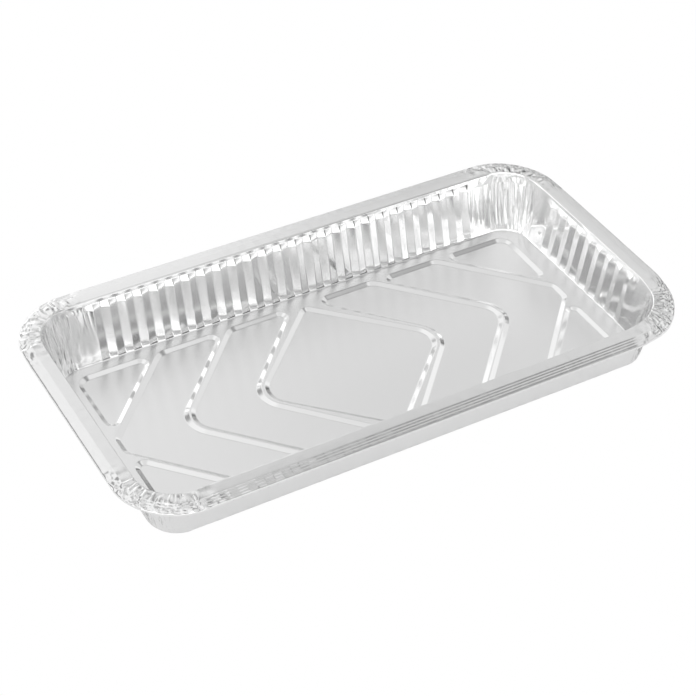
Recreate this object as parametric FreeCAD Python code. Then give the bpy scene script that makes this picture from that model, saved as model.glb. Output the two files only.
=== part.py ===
import FreeCAD, Part
import math
import os

from FreeCAD import Vector

# Foil tray, one formed sheet. Millimetres, Z up, base on Z = 0, long side along X.

# The sheet and the whole tray
foil = 0.1
overall_length = 325.0
overall_width = 175.0
overall_height = 35.4

# Rim, from the fold at the mouth outwards
rim_width = 12.3
rim_corner_radius = 33.3
flange_width = 6.4
flange_drop = 0.5
step_count = 4
step_drop = 0.3
step_riser = 0.45
lip_height = 1.3

# Walls
long_wall_inset = 10.5
short_wall_inset = 6.5
foot_corner_radius = 15.5
corner_gather_count = 8

# Pressed flutes
flute_pitch = 9.2
flute_depth = 1.2
flute_margin = 6.0
plain_band = 2.4
flute_cap = 3.5
flute_tail = 3.3

# Floor: ribs and a ledge stand over sunk panels
panel_depth = 1.3
panel_slope = 2.4
end_ledge = 9.7
side_ledge = 8.0
field_corner_radius = 8.0
rib_flat = 0.6
rib_apex_shares = (0.425, 0.735, 1.045)
middle_gap = 3.8
rib_apex_radius = 14.0
tip_radius = 6.0
obtuse_radius = 10.0
hook_radius = 5.0
diamond_share = 0.97

rim_z = overall_height
ledge_z = foil + panel_depth
mouth = (overall_length / 2 - rim_width, overall_width / 2 - rim_width)
mouth_radius = rim_corner_radius - rim_width
foot = (mouth[0] - short_wall_inset, mouth[1] - long_wall_inset)
side_growth = 0.75 * foil
field = (foot[0] - end_ledge, foot[1] - side_ledge)
rib_apexes = [share * field[0] for share in rib_apex_shares]
rib_rise = field[1] / (rib_apexes[0] - middle_gap)


def quarter_turns(face):
    """The same face and the one opposite it."""
    other = face.copy()
    other.rotate(Vector(0, 0, 0), Vector(0, 0, 1), 180)
    return [face, other]


def polygon_face(points):
    return Part.Face(Part.makePolygon(points + [points[0]]))


def arc_between(centre, radius, z, start, end):
    """Arc about a vertical axis between two angles in degrees."""
    return Part.makeCircle(radius, Vector(centre[0], centre[1], z), Vector(0, 0, 1), start, end)


def corner_arcs(half, radius, z, pieces):
    """The four corners of a rounded rectangle, anticlockwise, each as a list of equal arcs."""
    cx, cy = half[0] - radius, half[1] - radius
    corners = []
    for number, centre in enumerate(((cx, cy), (-cx, cy), (-cx, -cy), (cx, -cy))):
        angles = [90 * (number + step / pieces) for step in range(pieces + 1)]
        corners.append([arc_between(centre, radius, z, a, b) for a, b in zip(angles, angles[1:])])
    return corners


def ring_edges(half, radius, z):
    """Rounded rectangle as eight edges: the right side, then anticlockwise."""
    x, y = half
    cx, cy = x - radius, y - radius
    right = Part.makeLine(Vector(x, -cy, z), Vector(x, cy, z))
    back = Part.makeLine(Vector(cx, y, z), Vector(-cx, y, z))
    left = Part.makeLine(Vector(-x, cy, z), Vector(-x, -cy, z))
    front = Part.makeLine(Vector(-cx, -y, z), Vector(cx, -y, z))
    corners = [arcs[0] for arcs in corner_arcs(half, radius, z, 1)]
    return [right, corners[0], back, corners[1], left, corners[2], front, corners[3]]


def face_between(edge, other):
    """Flat face between two lines, cone between two arcs on one axis, ruled face between other arcs."""
    start, end = edge.valueAt(edge.FirstParameter), edge.valueAt(edge.LastParameter)
    other_start, other_end = other.valueAt(other.FirstParameter), other.valueAt(other.LastParameter)
    if edge.Curve.TypeId == "Part::GeomLine":
        return polygon_face([start, end, other_end, other_start])
    centre, axis = edge.Curve.Center, edge.Curve.Axis
    sideways = other.Curve.Center - centre
    if math.hypot(sideways.x, sideways.y) > 1e-6:
        return Part.makeRuledSurface(edge, other)
    turn = math.degrees(edge.LastParameter - edge.FirstParameter)
    return Part.makeLine(start, other_start).revolve(centre, axis, turn)


def strip(edges, next_edges):
    """Faces joining two outlines edge by edge."""
    return [face_between(a, b) for a, b in zip(edges, next_edges)]


def rim_profile():
    """Top of the rim as (outwards, down) points from the fold at the mouth."""
    points = [(0.0, 0.0), (flange_width, flange_drop)]
    tread = (rim_width - flange_width) / step_count - step_riser
    for number in range(step_count):
        out, down = points[-1]
        points.append((out + step_riser, down + step_drop))
        if number < step_count - 1:
            points.append((out + step_riser + tread, down + step_drop))
    down = points[-1][1]
    points.append((rim_width, down))
    points.append((rim_width, down + lip_height))
    return points


def under_profile(top):
    """The same section one foil thickness below and behind the top."""
    points = [(top[0][0] + side_growth, top[0][1] + foil)]
    for before, here, after in zip(top, top[1:], top[2:]):
        normals = []
        for a, b in ((before, here), (here, after)):
            length = math.hypot(b[0] - a[0], b[1] - a[1])
            normals.append((-(b[1] - a[1]) / length, (b[0] - a[0]) / length))
        (ax, ay), (bx, by) = normals
        reach = foil / (1 + ax * bx + ay * by)
        points.append((here[0] + (ax + bx) * reach, here[1] + (ay + by) * reach))
    points.append((top[-1][0] - foil, top[-1][1]))
    return points


def rim_ring(out, down):
    return ring_edges((mouth[0] + out, mouth[1] + out), mouth_radius + out, rim_z - down)


def rim_faces():
    top = rim_profile()
    under = under_profile(top)
    faces = []
    for profile in (top, under):
        rings = [rim_ring(out, down) for out, down in profile]
        for ring, next_ring in zip(rings, rings[1:]):
            faces += strip(ring, next_ring)
    faces += strip(rim_ring(*top[-1]), rim_ring(*under[-1]))
    return faces


def crest_positions(straight):
    """Flute crests along a wall, as many as its straight foot takes, centred on it."""
    flutes = int((straight - 2 * flute_margin) / flute_pitch) - 1
    return [(number - flutes / 2) * flute_pitch for number in range(flutes + 1)]


def fluted_wall(mouth_y, foot_y, mouth_x, foot_x, drop):
    """Faces of the wall on the +Y side: flat sheet with flutes pressed in from the band down."""
    top, low = rim_z - drop, ledge_z - drop
    lean = (mouth_y - foot_y) / (top - low)
    band_z = top - plain_band
    cap_z = band_z - flute_cap
    tail_z = low + flute_tail
    band_y = foot_y + lean * (band_z - low)
    flute_lean = (band_y - foot_y - flute_depth) / (band_z - low)
    crest_y = foot_y + flute_lean * (cap_z - low)
    groove_y = band_y - flute_lean * (band_z - tail_z)

    crests = crest_positions(2 * foot_x)
    grooves = [x + flute_pitch / 2 for x in crests[:-1]]
    crest_top = [Vector(x, crest_y, cap_z) for x in crests]
    crest_foot = [Vector(x, foot_y, low) for x in crests]
    groove_top = [Vector(x, band_y, band_z) for x in grooves]
    groove_foot = [Vector(x, groove_y, tail_z) for x in grooves]
    first = Vector(crests[0] - flute_pitch / 2, band_y, band_z)
    last = Vector(crests[-1] + flute_pitch / 2, band_y, band_z)

    flat = [Vector(-mouth_x, mouth_y, top), Vector(mouth_x, mouth_y, top), Vector(foot_x, foot_y, low),
            crest_foot[-1], last] + groove_top[::-1] + [first, crest_foot[0], Vector(-foot_x, foot_y, low)]
    faces = [polygon_face(flat)]
    for i in range(len(grooves)):
        faces.append(polygon_face([crest_top[i], groove_top[i], groove_foot[i], crest_foot[i]]))
        faces.append(polygon_face([crest_top[i + 1], groove_top[i], groove_foot[i], crest_foot[i + 1]]))
        faces.append(polygon_face([crest_foot[i], crest_foot[i + 1], groove_foot[i]]))
    bounds = [first] + groove_top + [last]
    for left, right, crest in zip(bounds, bounds[1:], crest_top):
        faces.append(polygon_face([left, right, crest]))
    faces.append(polygon_face([first, crest_top[0], crest_foot[0]]))
    faces.append(polygon_face([last, crest_top[-1], crest_foot[-1]]))
    return faces


def wall_faces(growth, drop):
    """All four walls and the corners between them."""
    mx, my = mouth[0] + growth, mouth[1] + growth
    fx, fy = foot[0] + growth, foot[1] + growth
    mouth_r, foot_r = mouth_radius + growth, foot_corner_radius + growth
    faces = []
    for face in fluted_wall(my, fy, mx - mouth_r, fx - foot_r, drop):
        faces += quarter_turns(face)
    for face in fluted_wall(mx, fx, my - mouth_r, fy - foot_r, drop):
        face.rotate(Vector(0, 0, 0), Vector(0, 0, 1), 90)
        faces += quarter_turns(face)
    upper = corner_arcs((mx, my), mouth_r, rim_z - drop, corner_gather_count)
    lower = corner_arcs((fx, fy), foot_r, ledge_z - drop, corner_gather_count)
    for upper_arcs, lower_arcs in zip(upper, lower):
        faces += strip(upper_arcs, lower_arcs)
    return faces


def foot_outline(growth, z):
    """Foot of the walls, its straight sides broken where the flute crests land."""
    edges = ring_edges((foot[0] + growth, foot[1] + growth), foot_corner_radius + growth, z)
    outline = []
    for number, edge in enumerate(edges):
        if number % 2:
            outline.append(edge)
            continue
        start, end = edge.Vertexes[0].Point, edge.Vertexes[1].Point
        middle, along = (start + end) / 2, (end - start).normalize()
        straight = (end - start).Length
        points = [start] + [middle + along * x for x in crest_positions(straight)] + [end]
        outline += [Part.makeLine(a, b) for a, b in zip(points, points[1:])]
    return outline


def corner_direction(before, here, after):
    """Unit vectors from a corner to its neighbours, and the turn at it (positive is convex)."""
    back = (before - here).normalize()
    ahead = (after - here).normalize()
    turn = (here - before).cross(after - here).z
    return back, ahead, turn


def rounded_outline(points, radii, inset, z):
    """Anticlockwise outline moved inwards by inset, each corner an arc about the same centre."""
    count = len(points)
    arcs = []
    for i in range(count):
        here = points[i]
        back, ahead, turn = corner_direction(points[i - 1], here, points[(i + 1) % count])
        half = back.getAngle(ahead) / 2
        middle = (back + ahead).normalize()
        centre = here + middle * (radii[i] / math.sin(half))
        radius = radii[i] - inset if turn > 0 else radii[i] + inset
        foot_a = here + back * (radii[i] / math.tan(half))
        foot_b = here + ahead * (radii[i] / math.tan(half))
        ends = [centre + (point - centre).normalize() * radius for point in (foot_a, foot_b)]
        arcs.append((ends[0], centre - middle * radius, ends[1]))
    rise = Vector(0, 0, z)
    edges = []
    for i in range(count):
        start, through, end = [point + rise for point in arcs[i]]
        edges.append(Part.Arc(start, through, end).toShape())
        edges.append(Part.makeLine(end, arcs[(i + 1) % count][0] + rise))
    return edges


def diamond():
    tip = rib_apexes[0] - rib_flat
    high = diamond_share * field[1]
    points = [Vector(tip, 0), Vector(0, high), Vector(-tip, 0), Vector(0, -high)]
    return points, [rib_apex_radius, hook_radius, rib_apex_radius, hook_radius]


def chevron(inner_apex, outer_apex):
    """Panel between two ribs on the +X side, cut by the field's edges."""
    half_x, half_y = field
    edge = rib_flat / 2 * math.hypot(1, rib_rise) / rib_rise
    run = half_y / rib_rise
    inner, outer = inner_apex + edge, outer_apex - edge
    if outer > half_x:
        nose = (outer - half_x) * rib_rise
        tips = [Vector(half_x, -nose), Vector(half_x, nose)]
        tip_radii = [tip_radius, tip_radius]
    else:
        tips = [Vector(outer, 0)]
        tip_radii = [rib_apex_radius]
    points = [Vector(inner - run, -half_y), Vector(outer - run, -half_y)] + tips
    points += [Vector(outer - run, half_y), Vector(inner - run, half_y), Vector(inner, 0)]
    radii = [hook_radius, obtuse_radius] + tip_radii + [obtuse_radius, hook_radius, rib_apex_radius]
    return points, radii


def corner_island(outer_apex):
    half_x, half_y = field
    edge = rib_flat / 2 * math.hypot(1, rib_rise) / rib_rise
    rib_line = outer_apex + edge
    points = [Vector(half_x, (rib_line - half_x) * rib_rise), Vector(half_x, half_y),
              Vector(rib_line - half_y / rib_rise, half_y)]
    return points, [hook_radius, field_corner_radius, hook_radius]


def mirrored(outline, x_sign, y_sign):
    points, radii = outline
    turned = [Vector(p.x * x_sign, p.y * y_sign) for p in points]
    if x_sign * y_sign < 0:
        return turned[::-1], radii[::-1]
    return turned, radii


def panel_outlines():
    outlines = [diamond()]
    for inner, outer in zip(rib_apexes, rib_apexes[1:]):
        outlines += [mirrored(chevron(inner, outer), side, 1) for side in (1, -1)]
    island = corner_island(rib_apexes[-1])
    outlines += [mirrored(island, x, y) for x in (1, -1) for y in (1, -1)]
    return outlines


def floor_faces(growth, drop):
    """Ledge and ribs in one plane, with every panel sunk below it by a sloped border."""
    high, low = ledge_z - drop, ledge_z - drop - panel_depth
    wires = [Part.Wire(foot_outline(growth, high))]
    faces = []
    for points, radii in panel_outlines():
        upper = rounded_outline(points, radii, 0.0, high)
        lower = rounded_outline(points, radii, panel_slope, low)
        wires.append(Part.Wire(upper))
        faces += strip(upper, lower)
        faces.append(Part.Face(Part.Wire(lower)))
    faces.append(Part.makeFace(wires, "Part::FaceMakerBullseye"))
    return faces


def build_tray():
    faces = rim_faces()
    for growth, drop in ((0.0, 0.0), (side_growth, foil)):
        faces += wall_faces(growth, drop)
        faces += floor_faces(growth, drop)
    shell = Part.makeShell(faces)
    shell.sewShape()
    solid = Part.Solid(shell)
    if solid.Volume < 0:
        solid.reverse()
    return solid


tray = build_tray()
os.makedirs("parts", exist_ok=True)
tray.exportStep("parts/foil_tray.step")
print("foil_tray", tray.isValid(), tray.isClosed(), len(tray.Faces), round(tray.Volume, 1), tray.BoundBox)
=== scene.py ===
import math

import bmesh
import bpy
import numpy as np
from mathutils import Matrix, Vector


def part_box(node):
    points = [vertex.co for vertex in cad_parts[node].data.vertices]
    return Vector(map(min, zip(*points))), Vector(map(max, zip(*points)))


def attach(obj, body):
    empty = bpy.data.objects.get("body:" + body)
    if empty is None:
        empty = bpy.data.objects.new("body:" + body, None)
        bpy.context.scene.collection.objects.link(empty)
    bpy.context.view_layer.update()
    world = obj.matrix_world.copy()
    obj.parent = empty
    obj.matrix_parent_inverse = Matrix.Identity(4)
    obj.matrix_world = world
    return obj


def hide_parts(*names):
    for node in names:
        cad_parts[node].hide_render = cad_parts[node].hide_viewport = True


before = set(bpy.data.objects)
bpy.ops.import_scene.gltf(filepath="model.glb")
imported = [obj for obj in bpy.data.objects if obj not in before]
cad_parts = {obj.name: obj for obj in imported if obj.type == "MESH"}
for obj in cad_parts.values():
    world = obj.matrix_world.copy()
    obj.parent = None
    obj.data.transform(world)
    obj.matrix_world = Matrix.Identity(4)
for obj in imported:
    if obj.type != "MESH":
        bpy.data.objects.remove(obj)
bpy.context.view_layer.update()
low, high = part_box("foil_tray")
mm = 0.001

# The tray's own sizes in millimetres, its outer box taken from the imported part
tray = {
    "length": (high.x - low.x) / mm,
    "width": (high.y - low.y) / mm,
    "height": (high.z - low.z) / mm,
    "foil": 0.1,
    "rimWidth": 12.3,
    "flange": 6.4,
    "flangeDrop": 0.5,
    "flangeRows": (0.78, 0.55, 0.35),  # shares of its width where points stand, for the pleats
    "steps": 4,
    "stepDrop": 0.36,
    "stepRiser": 0.7,
    "stepFold": 0.12,
    "lip": 1.3,
    "lipFold": 0.4,
    "lipTuck": 0.1,
    "lipRows": 3,
    "lipCrush": 0.2,       # share of the pleats that reaches the lip
    "rimRadius": 33.3,
    "longInset": 10.5,
    "shortInset": 6.5,
    "footRadius": 15.5,
    "panelDepth": 1.3,
    "mouthFold": 0.7,
    "footFold": 0.9,
    "footFoldUp": 0.6,     # share of that fold that climbs the wall
    "foldSteps": 3,
    "cornerSteps": 64,
    "frontFootOut": 3.5,   # the front wall stands a little steeper than the back one
    "endRimDraw": 0.09,    # share of the rim's width lost at the two ends
    "cornerRimDraw": 0.05,
    "cornerPull": (0.6, 0.8, 0.0, 4.5),  # how far each corner of the mouth is crushed inwards
    "pullReach": 30.0,
    "pullCurve": 1.5,      # above 1 keeps the crush up near the mouth
    "evenFrom": 0.75,      # the rim's steps run out where it faces left more squarely than this
    "evenOver": 0.2,
    "evenTo": 0.98,        # share of the rim's width, so that its outer edge stays as it is
}
tray["ledgeZ"] = tray["foil"] + tray["panelDepth"]
tray["mouth"] = (tray["length"] / 2 - tray["rimWidth"], tray["width"] / 2 - tray["rimWidth"])
tray["mouthRadius"] = tray["rimRadius"] - tray["rimWidth"]
tray["foot"] = (tray["mouth"][0] - tray["shortInset"], tray["mouth"][1] - tray["longInset"])

# The pressing of the walls and the rim, also in millimetres; a scale counts per metre
flutes = {
    "pitch": 9.2,
    "depth": 1.25,
    "band": 2.4,
    "cap": 3.3,
    "tail": 3.3,
    "margin": 6.0,
    "cuts": (0.0, 0.09, 0.91),         # half a flute is split here, so that its folds stay crisp
    "endCuts": (0.09, 0.5),            # past the last flute
    "cornerCuts": (0.0, 0.13, 0.26, 0.4, 0.55, 0.7, 0.85),  # from there to the corner
    "bandRows": (0.25, -0.15),         # rows of points over and under the band's lower edge
    "capRows": (0.35, 0.7, 0.9, 1.1),  # and down the caps, the wall and the tails, as shares
    "wallRows": (0.25, 0.5, 0.75, 0.94),
    "tailRows": (0.0, 0.35, 0.7),
    "hip": 0.6,            # how steep a cap is beside its ridge
    "softJoin": 0.3,       # rounding where cap, flute and tail meet
    "sideNumber": 977.0,   # gives long and short walls their own uneven flutes
    "fold": 0.96,          # nearer 1 is a sharper fold
    "unevenness": 0.06,
    "gather": 4.0,         # height of the creases in the corner walls
    "gatherReach": 17.0,   # from a corner's middle, along the mouth
    "gatherFade": 8.0,
    "gatherEase": 0.6,     # below 1 keeps them tall over more of the wall
    "gatherLevel": 0.2,    # noise below this folds outwards, the rest inwards
    "gatherScale": 280.0,  # about 3.6 mm apart, stretched down the wall, and different in each corner
    "gatherStretch": (1.0, 0.16, 7.3),
    "pleat": 1.5,          # height of the pleats in the corner rims
    "pleatReach": 20.0,
    "pleatFade": 10.0,
    "pleatEverywhere": 0.08,  # share of the pleats along the whole rim
    "pleatScale": 520.0,   # about 1.9 mm apart
    "pleatStretch": (1.0, 0.28, 3.1),
    "warp": 0.1,           # depth of the hand dents
    "warpScale": 22.0,     # about 45 mm across
    "warpStart": 2.0,      # above the ledge
    "warpFade": 12.0,
    "seed": 7,
}

# The sunk panels and the ribs between them
floorPattern = {
    "endLedge": 9.7,
    "sideLedge": 8.0,
    "slope": 2.6,
    "ribFlat": 0.6,
    "apexShares": (0.425, 0.735, 1.045),
    "middleGap": 3.8,
    "apexRadius": 14.0,
    "tipRadius": 6.0,
    "obtuseRadius": 10.0,
    "hookRadius": 5.0,
    "fieldRadius": 8.0,
    "diamondShare": 0.97,
    "fold": 0.26,
    "ledgeStrip": 0.03,    # narrow flats beside the two folds of a slope
    "panelStrip": 0.35,
    "arcSteps": 10,
    "shiftY": 1.6,         # the pressed pattern sits a touch towards the back
}


def flutesOn(straight):
    return int((straight - 2 * flutes["margin"]) / flutes["pitch"]) - 1


def sideColumns(straight):
    # places along one side: half flutes split so that folds stay crisp, and a few more out to the corner
    count = flutesOn(straight)
    half = flutes["pitch"] / 2
    span = count * half
    zone = [-span + (i + cut) * half for i in range(2 * count) for cut in flutes["cuts"]] + [span]
    ends = [span + half * cut for cut in flutes["endCuts"]]
    outer = [(span + half, share) for share in flutes["cornerCuts"]]
    places = [(-x, share) for x, share in outer[::-1]] + [(-x, None) for x in ends[::-1]]
    places += [(x, None) for x in zone + ends] + outer
    return places, span


def allColumns():
    # each is the angle a side faces, a place along it, the share from there to the corner, the angle
    # in a corner, and how far the side's flutes reach
    cornerX = tray["foot"][0] - tray["footRadius"]
    cornerY = tray["foot"][1] - tray["footRadius"]
    columns = []
    for number in range(4):
        direction = 90 * number
        straight = 2 * (cornerY if number % 2 == 0 else cornerX)
        places, span = sideColumns(straight)
        for place, share in places:
            columns.append((direction, place, share, None, span))
        steps = tray["cornerSteps"]
        for i in range(steps + 1):
            columns.append((direction, None, None, direction + 90 * i / steps, span))
    return columns


def ring(section):
    # one loop of points round the tray for a section (half length, half width, corner radius, height)
    a, b, radius, z = section
    points = []
    for direction, place, share, angle, _ in columns:
        phi = math.radians(direction)
        cx, cy = a - radius, b - radius
        if angle is None:
            out, along = (a, cy) if direction % 180 == 0 else (b, cx)
            s = place if share is None else math.copysign(abs(place) + share * (along - abs(place)), place)
            x = out * math.cos(phi) - s * math.sin(phi)
            y = out * math.sin(phi) + s * math.cos(phi)
        else:
            theta = math.radians(angle)
            sx = 1 if direction in (0, 270) else -1
            sy = 1 if direction in (0, 90) else -1
            x = sx * cx + radius * math.cos(theta)
            y = sy * cy + radius * math.sin(theta)
        points.append((x, y, z))
    return np.array(points)


def bend(before, corner, after, steps):
    # soft fold between two sections, through a corner section
    before, corner, after = np.array(before), np.array(corner), np.array(after)
    shares = [(i + 0.5) / steps for i in range(steps)]
    return [tuple(before * (1 - t) ** 2 + corner * 2 * t * (1 - t) + after * t ** 2) for t in shares]


def wallAt(z):
    # the plain wall's section at one height
    foot = np.array((*tray["foot"], tray["footRadius"], tray["ledgeZ"]))
    mouth = np.array((*tray["mouth"], tray["mouthRadius"], tray["height"]))
    share = (z - tray["ledgeZ"]) / (tray["height"] - tray["ledgeZ"])
    return tuple(foot * (1 - share) + mouth * share)


def sectionRows():
    # sections from the lip's lower edge, over the rim and down the wall to the ledge
    t = tray
    a, b = t["mouth"]
    r, top = t["mouthRadius"], t["height"]

    def rim(out, down):
        return a + out, b + out, r + out, top - down

    down = t["flangeDrop"] + t["steps"] * t["stepDrop"]
    rows = [rim(t["rimWidth"], down + t["lip"]), rim(t["rimWidth"], down + t["lipFold"]),
            rim(t["rimWidth"] - t["lipTuck"], down + t["lipTuck"])]
    tread = (t["rimWidth"] - t["flange"]) / t["steps"] - t["stepRiser"]
    crease = t["stepFold"]
    for number in range(t["steps"] - 1, -1, -1):
        start = t["flange"] + number * (t["stepRiser"] + tread)
        height = t["flangeDrop"] + number * t["stepDrop"]
        fall = t["stepDrop"] * crease / t["stepRiser"]
        rows.append(rim(start + t["stepRiser"] + crease, height + t["stepDrop"]))
        rows.append(rim(start + t["stepRiser"] - crease, height + t["stepDrop"] - fall))
        rows.append(rim(start + crease, height + fall))
        rows.append(rim(start - crease, height))
    fold = t["mouthFold"]
    for share in t["flangeRows"]:
        rows.append(rim(t["flange"] * share, t["flangeDrop"] * share))
    rows.append(rim(fold * 1.4, t["flangeDrop"] * 0.2))  # just outside the mouth's fold
    rimRows = len(rows)
    rows += bend(rim(fold, t["flangeDrop"] * fold / t["flange"]), rim(0, 0), wallAt(top - fold), t["foldSteps"])
    bandZ = top - flutes["band"]
    capZ = bandZ - flutes["cap"]
    tailZ = t["ledgeZ"] + flutes["tail"]
    heights = [top - fold * 1.3]  # and just below it
    heights += [bandZ + above for above in flutes["bandRows"]]
    heights += [bandZ - flutes["cap"] * share for share in flutes["capRows"]]
    heights += [capZ + (tailZ - capZ) * share for share in flutes["wallRows"]]
    heights += [tailZ - flutes["tail"] * share for share in flutes["tailRows"]]
    rows += [wallAt(z) for z in heights]
    reach = t["footFold"]
    foot = (t["foot"][0], t["foot"][1], t["footRadius"], t["ledgeZ"])
    inner = tuple(np.array(foot) - np.array((reach, reach, reach, 0)))
    rows += bend(wallAt(t["ledgeZ"] + reach * t["footFoldUp"]), foot, inner, t["foldSteps"])
    rows.append(inner)
    return rows, rimRows


def cornerArc(points, radii, inset, z):
    # outline moved inwards by inset, its corners arcs about fixed centres, as plain points
    count, loop = len(points), []
    steps = floorPattern["arcSteps"]
    for i in range(count):
        here = Vector(points[i])
        back = (Vector(points[i - 1]) - here).normalized()
        ahead = (Vector(points[(i + 1) % count]) - here).normalized()
        convex = back.cross(ahead) < 0
        half = back.angle(ahead) / 2
        middle = (back + ahead).normalized()
        centre = here + middle * (radii[i] / math.sin(half))
        radius = radii[i] - inset if convex else radii[i] + inset
        first = (here + back * (radii[i] / math.tan(half)) - centre).normalized()
        last = (here + ahead * (radii[i] / math.tan(half)) - centre).normalized()
        turn = math.atan2(first.cross(last), first.dot(last))
        for k in range(steps + 1):
            angle = turn * k / steps
            c, s = math.cos(angle), math.sin(angle)
            p = centre + Vector((first.x * c - first.y * s, first.x * s + first.y * c)) * radius
            loop.append((p.x, p.y + floorPattern["shiftY"], z))
    return loop


def panelOutlines():
    # the diamond in the middle, two pairs of chevrons and four corner fields, each with its corner radii
    p = floorPattern
    halfX, halfY = tray["foot"][0] - p["endLedge"], tray["foot"][1] - p["sideLedge"]
    apexes = [share * halfX for share in p["apexShares"]]
    rise = halfY / (apexes[0] - p["middleGap"])
    edge = p["ribFlat"] / 2 * math.hypot(1, rise) / rise
    run = halfY / rise
    tip, top = apexes[0] - p["ribFlat"], p["diamondShare"] * halfY
    outlines = [([(tip, 0), (0, top), (-tip, 0), (0, -top)],
                 [p["apexRadius"], p["hookRadius"], p["apexRadius"], p["hookRadius"]])]
    for innerApex, outerApex in zip(apexes, apexes[1:]):
        inner, outer = innerApex + edge, outerApex - edge
        if outer > halfX:
            nose = (outer - halfX) * rise
            tips, tipRadii = [(halfX, -nose), (halfX, nose)], [p["tipRadius"]] * 2
        else:
            tips, tipRadii = [(outer, 0)], [p["apexRadius"]]
        points = [(inner - run, -halfY), (outer - run, -halfY)] + tips
        points += [(outer - run, halfY), (inner - run, halfY), (inner, 0)]
        radii = [p["hookRadius"], p["obtuseRadius"]] + tipRadii
        radii += [p["obtuseRadius"], p["hookRadius"], p["apexRadius"]]
        outlines.append((points, radii))
        outlines.append(([(-x, -y) for x, y in points], radii))
    ribLine = apexes[-1] + edge
    points = [(halfX, (ribLine - halfX) * rise), (halfX, halfY), (ribLine - halfY / rise, halfY)]
    radii = [p["hookRadius"], p["fieldRadius"], p["hookRadius"]]
    for sx, sy in ((1, 1), (-1, 1), (-1, -1), (1, -1)):
        turned = [(x * sx, y * sy) for x, y in points]
        outlines.append((turned, radii) if sx * sy > 0 else (turned[::-1], radii[::-1]))
    return outlines


def slopeSections():
    # how far in from an outline, and how deep, with both folds rounded
    w, e, deep = floorPattern["slope"], floorPattern["fold"], tray["panelDepth"]

    def rounded(d):
        return deep / w * (d + e) ** 2 / (4 * e)

    rows = [(-e - floorPattern["ledgeStrip"], 0.0)] + [(d, rounded(d)) for d in (-e, -e / 3, e / 3, e)]
    rows += [(w / 2, deep / 2)] + [(w - d, deep - rounded(d)) for d in (e, e / 3, -e / 3, -e)]
    rows.append((w + e + floorPattern["panelStrip"], deep))
    return rows


def nearestCorners():
    # for each column, the number of its nearest corner and the distance past that corner's middle
    points = ring(wallAt(tray["height"]))
    steps = np.linalg.norm(np.roll(points, -1, axis=0) - points, axis=1)
    walked = np.concatenate(([0.0], np.cumsum(steps)[:-1]))
    whole = steps.sum()
    middles = [walked[i] for i, (direction, _, _, angle, _) in enumerate(columns)
               if angle is not None and angle - direction == 45]
    near = []
    for here in walked:
        past = [(here - middle + whole / 2) % whole - whole / 2 for middle in middles]
        number = int(np.argmin(np.abs(past)))
        near.append((number, past[number]))
    return near


def drawnIn(section, points, facings, near):
    # the foil is drawn in a little at the ends and crushed inwards at the corners
    out = np.stack([np.cos(facings), np.sin(facings)], axis=1)
    share = tray["endRimDraw"] * np.cos(facings) ** 2 + tray["cornerRimDraw"] * np.sin(2 * facings) ** 2
    overhang = max(section[0] - tray["mouth"][0], 0)
    rise = np.clip((section[3] - tray["ledgeZ"]) / (tray["height"] - tray["ledgeZ"]), 0, 1)
    pull = np.array([tray["cornerPull"][corner] * max(1 - (past / tray["pullReach"]) ** 2, 0) ** 2
                     for corner, past in near])
    points[:, :2] -= out * (overhang * share + pull * rise ** tray["pullCurve"])[:, None]


def smoothEnd(section, points, facings):
    # the steps of the rim run out before the left end, where the rim slopes evenly
    out = section[0] - tray["mouth"][0]
    share = (out - tray["flange"]) / (tray["rimWidth"] - tray["flange"])
    if 0 < share < tray["evenTo"]:
        even = tray["height"] - tray["flangeDrop"] - share * tray["steps"] * tray["stepDrop"]
        left = np.clip((-np.cos(facings) - tray["evenFrom"]) / tray["evenOver"], 0, 1)
        points[:, 2] += (even - points[:, 2]) * left


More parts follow.
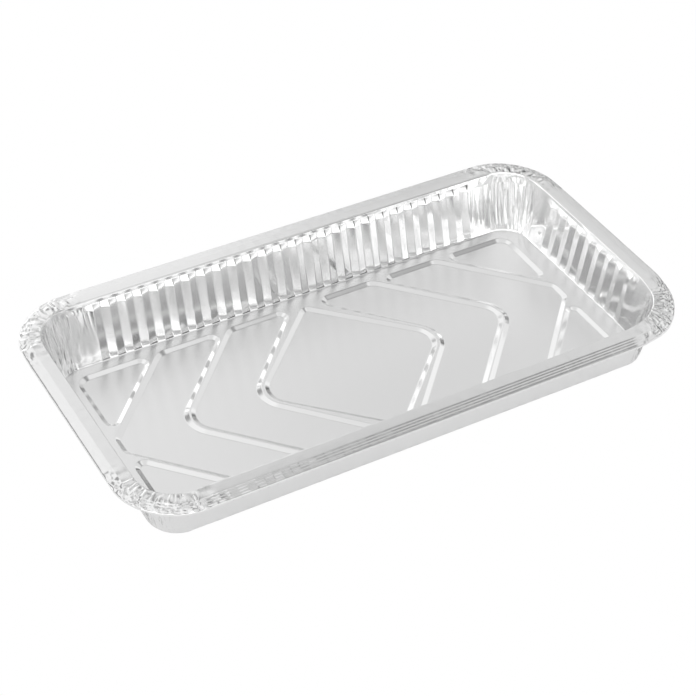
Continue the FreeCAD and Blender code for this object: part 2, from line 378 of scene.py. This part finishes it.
def buildSheet():
    # the plain sheet; its points carry what the pressing needs: their place along the flutes, how far
    # those reach, which way out is, the way round and down from the nearest corner, and a share for the rim
    bm = bmesh.new()
    along = bm.verts.layers.float.new("along")
    span = bm.verts.layers.float.new("span")
    press = bm.verts.layers.float_vector.new("press")
    around = bm.verts.layers.float_vector.new("around")
    rim = bm.verts.layers.float.new("rim")
    rows, wallStart = sectionRows()
    near = nearestCorners()
    facings = np.array([math.radians(direction if angle is None else angle)
                        for direction, _, _, angle, _ in columns])
    offFlutes = 1.0  # metres, far past the end of any row of flutes
    down = 0.0
    count = len(columns)
    grid = []
    for number, section in enumerate(rows):
        points = ring(section)
        before = rows[max(number - 1, 0)]
        down += math.hypot(section[0] - before[0], section[3] - before[3])
        drawnIn(section, points, facings, near)
        smoothEnd(section, points, facings)
        if number >= wallStart:  # the front wall is steeper, so its foot lies further out
            q = np.clip((tray["height"] - points[:, 2]) / (tray["height"] - tray["ledgeZ"]), 0, 1)
            front = np.clip(-points[:, 1] / tray["foot"][1], 0, 1) ** 2
            points[:, 1] -= tray["frontFootOut"] * q * front
            crush = 0.0
        else:
            crush = 1.0 if number >= tray["lipRows"] else tray["lipCrush"]
        line = []
        for column, facing, (corner, past), point in zip(columns, facings, near, points):
            _, place, share, _, reach = column
            vert = bm.verts.new(point * mm)
            vert[press] = (math.cos(facing), math.sin(facing), 0)
            vert[span] = reach * mm
            fluted = number >= wallStart and place is not None and share is None
            vert[along] = place * mm if fluted else offFlutes
            vert[around] = (past * mm, down * mm, corner)
            vert[rim] = crush
            line.append(vert)
        grid.append(line)
    for above, below in zip(grid, grid[1:]):
        for i in range(count):
            j = (i + 1) % count
            bm.faces.new((above[i], above[j], below[j], below[i]))
    ledgeLoops = [grid[-1]]
    for points, radii in panelOutlines():
        loops = []
        for inset, deep in slopeSections():
            loop = cornerArc(points, radii, inset, tray["ledgeZ"] - deep)
            loops.append([bm.verts.new(Vector(p) * mm) for p in loop])
        for outer, inner in zip(loops, loops[1:]):
            for i in range(len(outer)):
                j = (i + 1) % len(outer)
                bm.faces.new((outer[i], outer[j], inner[j], inner[i]))
        bm.faces.new(loops[-1])
        ledgeLoops.append(loops[0])
    edges = []
    for loop in ledgeLoops:
        for i in range(len(loop)):
            edges.append(bm.edges.get((loop[i], loop[(i + 1) % len(loop)])))
    bmesh.ops.triangle_fill(bm, use_beauty=True, use_dissolve=False, edges=edges, normal=(0, 0, 1))
    bmesh.ops.recalc_face_normals(bm, faces=bm.faces)
    flat = [face for face in bm.faces if abs(face.normal.z) > 0.99]
    middle = min(flat, key=lambda face: face.calc_center_median().xy.length)
    if middle.normal.z < 0:  # normals point up, and the foil's thickness goes below
        bmesh.ops.reverse_faces(bm, faces=bm.faces)
    mesh = bpy.data.meshes.new("foilTraySheet")
    bm.to_mesh(mesh)
    bm.free()
    for polygon in mesh.polygons:
        polygon.use_smooth = True
    sheet = bpy.data.objects.new("foilTraySheet", mesh)
    bpy.context.scene.collection.objects.link(sheet)
    return sheet


def addNode(tree, kind, links=None, **settings):
    # adds one node: settings are its own properties, links its input sockets' values or sources
    node = tree.nodes.new(kind)
    for name, value in settings.items():
        setattr(node, name, value)
    for socket, value in (links or {}).items():
        if isinstance(value, bpy.types.NodeSocket):
            tree.links.new(value, node.inputs[socket])
        else:
            node.inputs[socket].default_value = value
    return node


pressInputs = ("Pitch", "Depth", "Band Z", "Foot Z", "Cap", "Tail", "Fold", "Unevenness",
               "Gather", "Gather Reach", "Pleat", "Pleat Reach", "Warp")
pressFields = {"along": "FLOAT", "span": "FLOAT", "rim": "FLOAT", "press": "FLOAT_VECTOR", "around": "FLOAT_VECTOR"}

# The pressing, worked out step by step: a name, what is done, and to which values.
# Names ending in Share stay within 0 and 1
pressSums = [
    ("fromStart", "ADD", "along", "span"),
    ("cell", "DIVIDE", "fromStart", "Pitch"),
    ("sideNumber", "MULTIPLY", "span", flutes["sideNumber"]),
    ("fluteOnSide", "ADD", "cell", "sideNumber"),
    ("fluteNumber", "ROUND", "fluteOnSide"),
    # the flutes: a wave with crisp folds, each flute a little different
    ("turn", "MULTIPLY", "cell", 2 * math.pi),
    ("cosine", "COSINE", "turn"),
    ("sharpened", "MULTIPLY", "cosine", "Fold"),
    ("angle", "ARCSINE", "sharpened"),
    ("fullAngle", "ARCSINE", "Fold"),
    ("wave", "DIVIDE", "angle", "fullAngle"),
    ("crest", "MULTIPLY_ADD", "wave", 0.5, 0.5),
    ("chanceOff", "SUBTRACT", "chance", 0.5),
    ("uneven", "MULTIPLY_ADD", "chanceOff", "Unevenness", 1.0),
    ("flute", "MULTIPLY", "crest", "Depth"),
    ("unevenFlute", "MULTIPLY", "flute", "uneven"),
    # their caps under the plain band fall away to both sides of a ridge
    ("drop", "SUBTRACT", "Band Z", "height"),
    ("capShare", "DIVIDE", "drop", "Cap"),
    ("capHeight", "MULTIPLY", "capShare", "Depth"),
    ("hipped", "MULTIPLY_ADD", "crest", 1 - flutes["hip"], flutes["hip"]),
    ("capLimit", "MULTIPLY", "capHeight", "hipped"),
    ("capped", "SMOOTH_MIN", "unevenFlute", "capLimit", flutes["softJoin"] * mm),
    # their tails spread to the full depth at the foot
    ("rise", "SUBTRACT", "height", "Foot Z"),
    ("tailShare", "DIVIDE", "rise", "Tail"),
    ("tailLeft", "SUBTRACT", 1.0, "tailShare"),
    ("tailLimit", "MULTIPLY", "tailLeft", "Depth"),
    ("raised", "SMOOTH_MAX", "capped", "tailLimit", flutes["softJoin"] * mm),
    ("fluted", "SUBTRACT", "Band Z", "Foot Z"),
    ("downShare", "DIVIDE", "drop", "fluted"),
    ("sunk", "MULTIPLY", "downShare", "Depth"),
    ("outwards", "SUBTRACT", "sunk", "raised"),
    ("reach", "ABSOLUTE", "along"),
    ("overrun", "SUBTRACT", "reach", "span"),
    ("halfPitch", "MULTIPLY", "Pitch", 0.5),
    ("pastEndShare", "DIVIDE", "overrun", "halfPitch"),
    ("onFlutes", "SUBTRACT", 1.0, "pastEndShare"),
    ("below", "GREATER_THAN", "drop", 0.0),
    ("outOnFlutes", "MULTIPLY", "outwards", "onFlutes"),
    ("fluteOut", "MULTIPLY", "outOnFlutes", "below"),
    # gathers: the foil's spare length at a corner stands in upright creases on the wall
    ("past", "ABSOLUTE", "aroundCorner"),
    ("pastGather", "SUBTRACT", "past", "Gather Reach"),
    ("gatherFadeShare", "DIVIDE", "pastGather", flutes["gatherFade"] * mm),
    ("nearCorner", "SUBTRACT", 1.0, "gatherFadeShare"),
    ("signedFold", "MULTIPLY_ADD", "gatherNoise", 2.0, -1.0),
    ("ridge", "ABSOLUTE", "signedFold"),
    ("upShare", "DIVIDE", "rise", "fluted"),
    ("upTurn", "MULTIPLY", "upShare", math.pi),
    ("upSine", "SINE", "upTurn"),
    ("upWall", "POWER", "upSine", flutes["gatherEase"]),
    ("ridgeOff", "SUBTRACT", "ridge", flutes["gatherLevel"]),
    ("creaseNear", "MULTIPLY", "ridgeOff", "nearCorner"),
    ("creased", "MULTIPLY", "creaseNear", "upWall"),
    ("gathered", "MULTIPLY", "creased", "Gather"),
    ("onWall", "SUBTRACT", 1.0, "rim"),
    ("gatherOut", "MULTIPLY", "gathered", "onWall"),
    ("push", "SUBTRACT", "fluteOut", "gatherOut"),
    # pleats: the same spare length is crushed flat across the rim's corner, and a little of it all along
    ("pastPleat", "SUBTRACT", "past", "Pleat Reach"),
    ("pleatFadeShare", "DIVIDE", "pastPleat", flutes["pleatFade"] * mm),
    ("pleatNear", "SUBTRACT", 1.0, "pleatFadeShare"),
    ("crush", "MAXIMUM", "pleatNear", flutes["pleatEverywhere"]),
    ("crushedRim", "MULTIPLY", "crush", "rim"),
    ("crumpled", "MULTIPLY_ADD", "pleatNoise", 2.0, -1.0),
    ("pleated", "MULTIPLY", "crumpled", "crushedRim"),
    ("lift", "MULTIPLY", "pleated", "Pleat"),
    # hand dents, left off the floor
    ("aboveFloor", "SUBTRACT", "rise", flutes["warpStart"] * mm),
    ("offFloorShare", "DIVIDE", "aboveFloor", flutes["warpFade"] * mm),
    ("dent", "MULTIPLY", "offFloorShare", "Warp"),
]


def pressTree():
    # presses the flutes, the corner gathers and the rim's pleats into the plain sheet
    tree = bpy.data.node_groups.new("pressedWalls", "GeometryNodeTree")
    face = tree.interface
    face.new_socket("Geometry", in_out="INPUT", socket_type="NodeSocketGeometry")
    for name in pressInputs:
        face.new_socket(name, in_out="INPUT", socket_type="NodeSocketFloat")
    face.new_socket("Seed", in_out="INPUT", socket_type="NodeSocketInt")
    face.new_socket("Foil", in_out="INPUT", socket_type="NodeSocketMaterial")
    face.new_socket("Geometry", in_out="OUTPUT", socket_type="NodeSocketGeometry")
    given = tree.nodes.new("NodeGroupInput").outputs

    known = {name: given[name] for name in pressInputs}
    for name, kind in pressFields.items():
        known[name] = addNode(tree, "GeometryNodeInputNamedAttribute", {"Name": name}, data_type=kind).outputs[0]
    position = tree.nodes.new("GeometryNodeInputPosition").outputs[0]
    known["height"] = addNode(tree, "ShaderNodeSeparateXYZ", {0: position}).outputs["Z"]
    known["aroundCorner"] = addNode(tree, "ShaderNodeSeparateXYZ", {0: known["around"]}).outputs[0]
    for name, distortion in (("gather", 0.4), ("pleat", 0.2)):
        stretched = addNode(tree, "ShaderNodeVectorMath", {0: known["around"], 1: flutes[name + "Stretch"]},
                            operation="MULTIPLY")
        known[name + "Noise"] = addNode(tree, "ShaderNodeTexNoise", {
            "Vector": stretched.outputs[0], "Scale": flutes[name + "Scale"], "Detail": 2.0, "Roughness": 0.6,
            "Distortion": distortion}).outputs[0]
    random = addNode(tree, "FunctionNodeRandomValue", {"Seed": given["Seed"]}, data_type="FLOAT")
    known["chance"] = random.outputs[1]
    for name, operation, *values in pressSums:
        links = {place: known.get(value, value) for place, value in enumerate(values)}
        clamped = name.endswith("Share")
        known[name] = addNode(tree, "ShaderNodeMath", links, operation=operation, use_clamp=clamped).outputs[0]
    tree.links.new(known["fluteNumber"], random.inputs["ID"])
    soft = addNode(tree, "ShaderNodeTexNoise", {
        "Vector": position, "Scale": flutes["warpScale"], "Detail": 2.0, "Roughness": 0.5})
    centred = addNode(tree, "ShaderNodeVectorMath", {0: soft.outputs["Color"], 1: (0.5, 0.5, 0.5)},
                      operation="SUBTRACT")
    warp = addNode(tree, "ShaderNodeVectorMath", {0: centred.outputs[0], "Scale": known["dent"]},
                   operation="SCALE")
    pushed = addNode(tree, "ShaderNodeVectorMath", {0: known["press"], "Scale": known["push"]},
                     operation="SCALE")
    lift = addNode(tree, "ShaderNodeCombineXYZ", {2: known["lift"]})
    move = addNode(tree, "ShaderNodeVectorMath", {0: pushed.outputs[0], 1: warp.outputs[0]}, operation="ADD")
    move = addNode(tree, "ShaderNodeVectorMath", {0: move.outputs[0], 1: lift.outputs[0]}, operation="ADD")
    moved = addNode(tree, "GeometryNodeSetPosition", {"Geometry": given["Geometry"], "Offset": move.outputs[0]})
    real = addNode(tree, "GeometryNodeRealizeInstances", {"Geometry": moved.outputs[0]})
    finished = addNode(tree, "GeometryNodeSetMaterial", {"Geometry": real.outputs[0], "Material": given["Foil"]})
    output = tree.nodes.new("NodeGroupOutput")
    tree.links.new(finished.outputs[0], output.inputs[0])
    return tree


def applyTree(piece, tree, values):
    # runs a node tree on a piece and keeps the result as its plain mesh
    modifier = piece.modifiers.new(tree.name, "NODES")
    modifier.node_group = tree
    for item in tree.interface.items_tree:
        if item.in_out == "INPUT" and item.name in values:
            modifier[item.identifier] = values[item.name]
    bpy.context.view_layer.update()
    depsgraph = bpy.context.evaluated_depsgraph_get()
    mesh = bpy.data.meshes.new_from_object(piece.evaluated_get(depsgraph), depsgraph=depsgraph)
    piece.modifiers.clear()
    piece.data = mesh


def linear(hexColour):
    # sRGB hex to the linear colour Blender works in
    parts = [int(hexColour[i:i + 2], 16) / 255 for i in (1, 3, 5)]
    return tuple(c / 12.92 if c <= 0.04045 else ((c + 0.055) / 1.055) ** 2.4 for c in parts) + (1.0,)


# The foil's own surface: scales count per metre, heights are in millimetres
foilSurface = {
    "linesAcross": 4000.0,  # rolling lines 0.25 mm apart, coarser than real ones, which are too fine to show
    "linesAlong": 60.0,     # about 17 mm long
    "lineHeight": 0.05,
    "lineBump": 0.12,
    "unevenScale": 45.0,    # soft unevenness about 22 mm wide, from handling
    "unevenHeight": 0.6,
    "slopedBelow": 0.95,    # upward share of the normal, where the satin of a flat part begins
    "flatAbove": 0.995,
    "brushed": 0.9,         # how much more the lines blur across than along
}


def rolledFoil(name, colour, burnished, satin, unevenBump):
    # aluminium foil as it leaves the mill: the bright side mirrors softly, the matt side only glows
    surface = foilSurface
    material = bpy.data.materials.new(name)
    material.use_nodes = True
    tree = material.node_tree
    tree.nodes.clear()
    place = tree.nodes.new("ShaderNodeTexCoord").outputs["Object"]
    facing = tree.nodes.new("ShaderNodeNewGeometry").outputs["Normal"]
    lines = addNode(tree, "ShaderNodeMapping", {
        "Vector": place, "Scale": (surface["linesAlong"], surface["linesAcross"], surface["linesAlong"])})
    rolling = addNode(tree, "ShaderNodeTexNoise", {"Vector": lines.outputs[0], "Scale": 1.0, "Detail": 2.0})
    soft = addNode(tree, "ShaderNodeTexNoise", {
        "Vector": place, "Scale": surface["unevenScale"], "Detail": 3.0, "Roughness": 0.55})
    bumpSoft = addNode(tree, "ShaderNodeBump", {
        "Height": soft.outputs[0], "Strength": unevenBump, "Distance": surface["unevenHeight"] * mm})
    bumpLines = addNode(tree, "ShaderNodeBump", {
        "Height": rolling.outputs[0], "Strength": surface["lineBump"], "Distance": surface["lineHeight"] * mm,
        "Normal": bumpSoft.outputs[0]})
    # flat parts keep the mill's satin grain, slopes and walls are burnished where the die drew them
    upright = addNode(tree, "ShaderNodeSeparateXYZ", {0: facing})
    shine = addNode(tree, "ShaderNodeMapRange", {
        "Value": upright.outputs["Z"], "From Min": surface["slopedBelow"], "From Max": surface["flatAbove"],
        "To Min": burnished, "To Max": satin})
    # the rolls leave fine lines along the sheet's length, which blur a reflection only across them
    acrossRolling = addNode(tree, "ShaderNodeVectorMath", {0: facing, 1: (1, 0, 0)}, operation="CROSS_PRODUCT")
    shader = addNode(tree, "ShaderNodeBsdfPrincipled", {
        "Base Color": linear(colour), "Metallic": 1.0, "Roughness": shine.outputs[0],
        "Anisotropic": surface["brushed"], "Normal": bumpLines.outputs[0], "Tangent": acrossRolling.outputs[0]})
    output = tree.nodes.new("ShaderNodeOutputMaterial")
    tree.links.new(shader.outputs[0], output.inputs["Surface"])
    return material


brightSide = rolledFoil("brightRolledFoil", "#f2f2f2", burnished=0.1, satin=0.25, unevenBump=0.03)
mattSide = rolledFoil("mattRolledFoil", "#f0f0f0", burnished=0.18, satin=0.42, unevenBump=0.2)

columns = allColumns()
sheet = buildSheet()
print("plain sheet", len(sheet.data.polygons), "faces")
applyTree(sheet, pressTree(), {
    "Pitch": flutes["pitch"] * mm,
    "Depth": flutes["depth"] * mm,
    "Band Z": (tray["height"] - flutes["band"]) * mm,
    "Foot Z": tray["ledgeZ"] * mm,
    "Cap": flutes["cap"] * mm,
    "Tail": flutes["tail"] * mm,
    "Fold": flutes["fold"],
    "Unevenness": flutes["unevenness"],
    "Gather": flutes["gather"] * mm,
    "Gather Reach": flutes["gatherReach"] * mm,
    "Pleat": flutes["pleat"] * mm,
    "Pleat Reach": flutes["pleatReach"] * mm,
    "Warp": flutes["warp"] * mm,
    "Seed": flutes["seed"],
    "Foil": brightSide,
})
sheet.data.materials.clear()
sheet.data.materials.append(brightSide)
sheet.data.materials.append(mattSide)
wall = sheet.modifiers.new("foilThickness", "SOLIDIFY")
wall.thickness = tray["foil"] * mm
wall.offset = -1
wall.use_even_offset = True
wall.material_offset = 1      # the underside and the cut edge are the matt side
wall.material_offset_rim = 1
# flat facets stay flat beside their narrow folds
evenShading = sheet.modifiers.new("evenShading", "WEIGHTED_NORMAL")
evenShading.mode = "FACE_AREA"
evenShading.weight = 60
print("pressed sheet", len(sheet.data.polygons), "faces")
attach(sheet, "root")
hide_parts("foil_tray")

# Millimetres and degrees, unless it says otherwise
studio = {
    "camera": (-381.7, -630.6, 636.5),
    "yaw": 30.93,
    "pitch": 40.22,
    "roll": 1.88,
    "focal": 1846.8,       # in pixels, as the picture's width
    "pictureWidth": 696,
    "farthest": 50,        # metres
    "floor": 4000,
    "floorGap": 0.3,       # under the tray
    "paper": "#f4f4f4",
    "floorMirrored": 0.3,  # share of plain white in the floor that the foil mirrors; the rest is shaded paper
    "room": 0.95,
    "bareFrom": 0.98,      # the foil mirrors the white backdrop where panels cover it less than 0.02
    "panels": [  # compass, height, half width, half height, softness, strength
        (120, 4, 45, 7, 4, 1.5),       # low strip behind
        (100, 15, 16, 7, 4, 1.6),
        (206, 14, 18, 12, 4, 2.1),     # tall soft box on the left
        (228, 30, 38, 8, 4, 2.0),
        (238, 46, 42, 7, 4, 1.6),
        (262, 14, 22, 16, 4, 1.6),
        (305, 0, 26, 7, 3, 1.5),
        (30, 14, 36, 8, 4, 0.12),      # grey cards from here on
        (142, 27, 44, 11, 4, 0.34),
        (7, 44, 54, 9, 4, 0.8),
        (306, 19, 14, 11, 3, 0.08),
        (329, 14, 10, 12, 4, 0.8),
        (318, 34, 28, 7, 4, 0.3),
        (45, 63, 60, 8, 5, 0.33),
        (0, 86, 200, 11, 5, 0.8),
    ],
}


def aimCamera():
    yaw, pitch, roll = (math.radians(studio[name]) for name in ("yaw", "pitch", "roll"))
    forward = Vector((math.sin(yaw) * math.cos(pitch), math.cos(yaw) * math.cos(pitch), -math.sin(pitch)))
    level = Vector((math.cos(yaw), -math.sin(yaw), 0))
    above = level.cross(forward)
    right = level * math.cos(roll) + above * math.sin(roll)
    up = above * math.cos(roll) - level * math.sin(roll)
    data = bpy.data.cameras.new("studioCamera")
    data.lens = studio["focal"] / studio["pictureWidth"] * data.sensor_width
    data.clip_end = studio["farthest"]
    camera = bpy.data.objects.new("studioCamera", data)
    bpy.context.scene.collection.objects.link(camera)
    turn = Matrix((right, up, -forward)).transposed().to_4x4()
    camera.matrix_world = Matrix.Translation(Vector(studio["camera"]) * mm) @ turn
    bpy.context.scene.camera = camera


def paleFloor():
    # white paper, shown plain white to the camera and partly so to the foil, as on a light table
    half, z = studio["floor"] / 2 * mm, -studio["floorGap"] * mm
    corners = [(-half, -half, z), (half, -half, z), (half, half, z), (-half, half, z)]
    mesh = bpy.data.meshes.new("studioFloor")
    mesh.from_pydata(corners, [], [(0, 1, 2, 3)])
    floor = bpy.data.objects.new("studioFloor", mesh)
    bpy.context.scene.collection.objects.link(floor)
    material = bpy.data.materials.new("whitePaper")
    material.use_nodes = True
    tree = material.node_tree
    tree.nodes.clear()
    paper = addNode(tree, "ShaderNodeBsdfDiffuse", {"Color": linear(studio["paper"])})
    white = addNode(tree, "ShaderNodeEmission", {"Color": (1, 1, 1, 1), "Strength": 1.0})
    path = tree.nodes.new("ShaderNodeLightPath").outputs
    mirrored = addNode(tree, "ShaderNodeMath", {0: path["Is Glossy Ray"], 1: path["Is Transmission Ray"]},
                       operation="MAXIMUM")
    mirrored = addNode(tree, "ShaderNodeMath", {0: mirrored.outputs[0], 1: studio["floorMirrored"]},
                       operation="MULTIPLY")
    share = addNode(tree, "ShaderNodeMath", {0: path["Is Camera Ray"], 1: mirrored.outputs[0]}, operation="MAXIMUM")
    mix = addNode(tree, "ShaderNodeMixShader", {0: share.outputs[0], 1: paper.outputs[0], 2: white.outputs[0]})
    output = tree.nodes.new("ShaderNodeOutputMaterial")
    tree.links.new(mix.outputs[0], output.inputs["Surface"])
    floor.data.materials.append(material)


def studioWorld():
    # a white room with soft boxes and grey cards, each placed by its compass angle (0 is +X, 90 is +Y)
    # and its height in degrees
    world = bpy.data.worlds.new("whiteStudio")
    bpy.context.scene.world = world
    world.use_nodes = True
    tree = world.node_tree
    tree.nodes.clear()
    direction = tree.nodes.new("ShaderNodeTexCoord").outputs["Generated"]
    level, bare = studio["room"], 1.0
    for compass, height, halfWidth, halfHeight, softness, strength in studio["panels"]:
        turned = addNode(tree, "ShaderNodeVectorRotate", {"Vector": direction, "Angle": -math.radians(compass)},
                         rotation_type="Z_AXIS")
        parts = addNode(tree, "ShaderNodeSeparateXYZ", {0: turned.outputs[0]})
        sideways = addNode(tree, "ShaderNodeMath", {0: parts.outputs[1], 1: parts.outputs[0]}, operation="ARCTAN2")
        raised = addNode(tree, "ShaderNodeMath", {0: parts.outputs[2]}, operation="ARCSINE")
        raised = addNode(tree, "ShaderNodeMath", {0: raised.outputs[0], 1: math.radians(height)},
                         operation="SUBTRACT")
        covers = []
        for angle, half in ((sideways, halfWidth), (raised, halfHeight)):
            size = addNode(tree, "ShaderNodeMath", {0: angle.outputs[0]}, operation="ABSOLUTE")
            covers.append(addNode(tree, "ShaderNodeMapRange", {
                "Value": size.outputs[0], "From Min": math.radians(half + softness),
                "From Max": math.radians(half - softness)}, interpolation_type="SMOOTHSTEP").outputs[0])
        cover = addNode(tree, "ShaderNodeMath", {0: covers[0], 1: covers[1]}, operation="MULTIPLY")
        level = addNode(tree, "ShaderNodeMix", {"Factor": cover.outputs[0], "A": level, "B": strength},
                        data_type="FLOAT").outputs["Result"]
        uncovered = addNode(tree, "ShaderNodeMath", {0: 1.0, 1: cover.outputs[0]}, operation="SUBTRACT")
        bare = addNode(tree, "ShaderNodeMath", {0: uncovered.outputs[0], 1: bare}, operation="MULTIPLY").outputs[0]
    around = addNode(tree, "ShaderNodeBackground", {"Color": (1, 1, 1, 1), "Strength": level})
    white = addNode(tree, "ShaderNodeBackground", {"Color": (1, 1, 1, 1), "Strength": 1.0})
    # metal and glass show the white backdrop too, wherever no panel stands before it
    path = tree.nodes.new("ShaderNodeLightPath").outputs
    mirrored = addNode(tree, "ShaderNodeMath", {0: path["Is Glossy Ray"], 1: path["Is Transmission Ray"]},
                       operation="MAXIMUM")
    bare = addNode(tree, "ShaderNodeMath", {0: bare, 1: studio["bareFrom"]}, operation="GREATER_THAN")
    mirrored = addNode(tree, "ShaderNodeMath", {0: mirrored.outputs[0], 1: bare.outputs[0]}, operation="MULTIPLY")
    backdrop = addNode(tree, "ShaderNodeMath", {0: path["Is Camera Ray"], 1: mirrored.outputs[0]},
                       operation="MAXIMUM")
    mix = addNode(tree, "ShaderNodeMixShader", {0: backdrop.outputs[0], 1: around.outputs[0], 2: white.outputs[0]})
    output = tree.nodes.new("ShaderNodeOutputWorld")
    tree.links.new(mix.outputs[0], output.inputs["Surface"])


aimCamera()
paleFloor()
studioWorld()
bpy.context.scene.view_settings.view_transform = "Standard"
print("studio ready")
